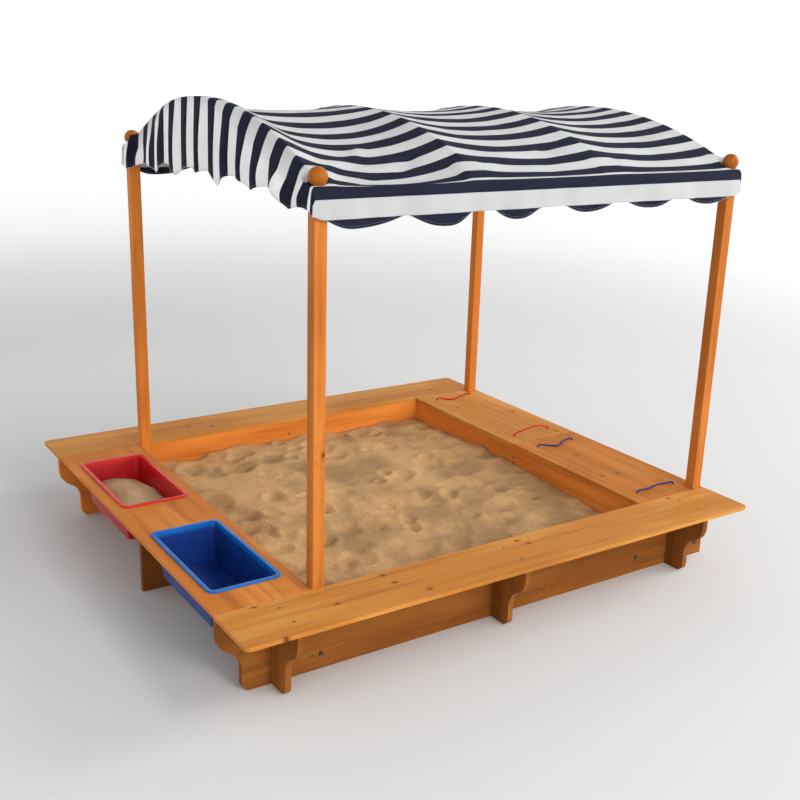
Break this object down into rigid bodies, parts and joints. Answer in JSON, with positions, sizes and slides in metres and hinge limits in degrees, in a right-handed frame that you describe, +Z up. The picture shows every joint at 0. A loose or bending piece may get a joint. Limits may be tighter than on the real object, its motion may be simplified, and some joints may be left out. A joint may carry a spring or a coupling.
{
  "type": "covered sandbox",
  "caption": "Children's wooden sandbox with seat boards, lift-out play tubs, a storage bench with lift-off rope-handled lids, and a striped arched canopy on posts.",
  "frame": {"origin": "centre of the bounding box at ground level", "axes": "+X from the tub bench to the storage bench, +Y from the front seat board to the back one, +Z up"},
  "size_m": [1.988, 1.87, 1.6078],
  "materials": {
    "seat_wood": "satin",
    "frame_wood": "satin",
    "post_wood": "satin",
    "finial_wood": "gloss",
    "canopy_fabric": "matte",
    "bow_steel": "satin",
    "saddle_plastic": "matte",
    "fastener_steel": "satin",
    "sand": "matte",
    "ground_fabric": "matte",
    "red_plastic": "gloss",
    "blue_plastic": "gloss",
    "red_rope": "matte",
    "blue_rope": "matte"
  },
  "bodies": {
    "frame": {"back_bracket_left": "frame_wood", "back_bracket_middle": "frame_wood", "back_bracket_right": "frame_wood", "back_left_finial": "finial_wood", "back_left_post": "post_wood", "back_rail": "frame_wood", "back_right_finial": "finial_wood", "back_right_post": "post_wood", "back_seat_board": "seat_wood", "bow_saddles": "saddle_plastic", "bracket_screws": "fastener_steel", "canopy_bow_1": "bow_steel", "canopy_bow_2": "bow_steel", "canopy_bow_3": "bow_steel", "canopy_bow_4": "bow_steel", "canopy_cover": "canopy_fabric", "canopy_rail_back": "frame_wood", "canopy_rail_front": "frame_wood", "canopy_screws": "fastener_steel", "corner_blocks": "frame_wood", "front_bracket_left": "frame_wood", "front_bracket_middle": "frame_wood", "front_bracket_right": "frame_wood", "front_left_finial": "finial_wood", "front_left_post": "post_wood", "front_rail": "frame_wood", "front_right_finial": "finial_wood", "front_right_post": "post_wood", "front_seat_board": "seat_wood", "ground_sheet": "ground_fabric", "rail_bolts": "fastener_steel", "sand_bed": "sand", "seat_screws": "fastener_steel", "storage_divider": "frame_wood", "storage_floor": "frame_wood", "storage_inner_wall": "frame_wood", "storage_outer_wall": "frame_wood", "tub_bench_board": "seat_wood", "tub_bench_support": "frame_wood", "tub_bench_wall": "frame_wood", "wall_screws": "fastener_steel"},
    "front_lid": {"front_lid_battens": "frame_wood", "front_lid_inner_plank": "seat_wood", "front_lid_knots_inner": "blue_rope", "front_lid_knots_outer": "blue_rope", "front_lid_outer_plank": "seat_wood", "front_lid_rope_inner": "blue_rope", "front_lid_rope_outer": "blue_rope", "front_lid_screws": "fastener_steel"},
    "back_lid": {"back_lid_battens": "frame_wood", "back_lid_inner_plank": "seat_wood", "back_lid_knots_inner": "red_rope", "back_lid_knots_outer": "red_rope", "back_lid_outer_plank": "seat_wood", "back_lid_rope_inner": "red_rope", "back_lid_rope_outer": "red_rope", "back_lid_screws": "fastener_steel"},
    "blue_tub": {"blue_tub": "blue_plastic"},
    "red_tub": {"red_tub": "red_plastic", "red_tub_sand": "sand"}
  },
  "joints": [
    {"name": "front_lid_lift", "type": "slide", "parent": "frame", "child": "front_lid", "axis": [0, 0, 1], "range_m": [0, 0.3]},
    {"name": "back_lid_lift", "type": "slide", "parent": "frame", "child": "back_lid", "axis": [0, 0, 1], "range_m": [0, 0.3]},
    {"name": "blue_tub_lift", "type": "slide", "parent": "frame", "child": "blue_tub", "axis": [0, 0, 1], "range_m": [0, 0.25]},
    {"name": "red_tub_lift", "type": "slide", "parent": "frame", "child": "red_tub", "axis": [0, 0, 1], "range_m": [0, 0.25]}
  ]
}
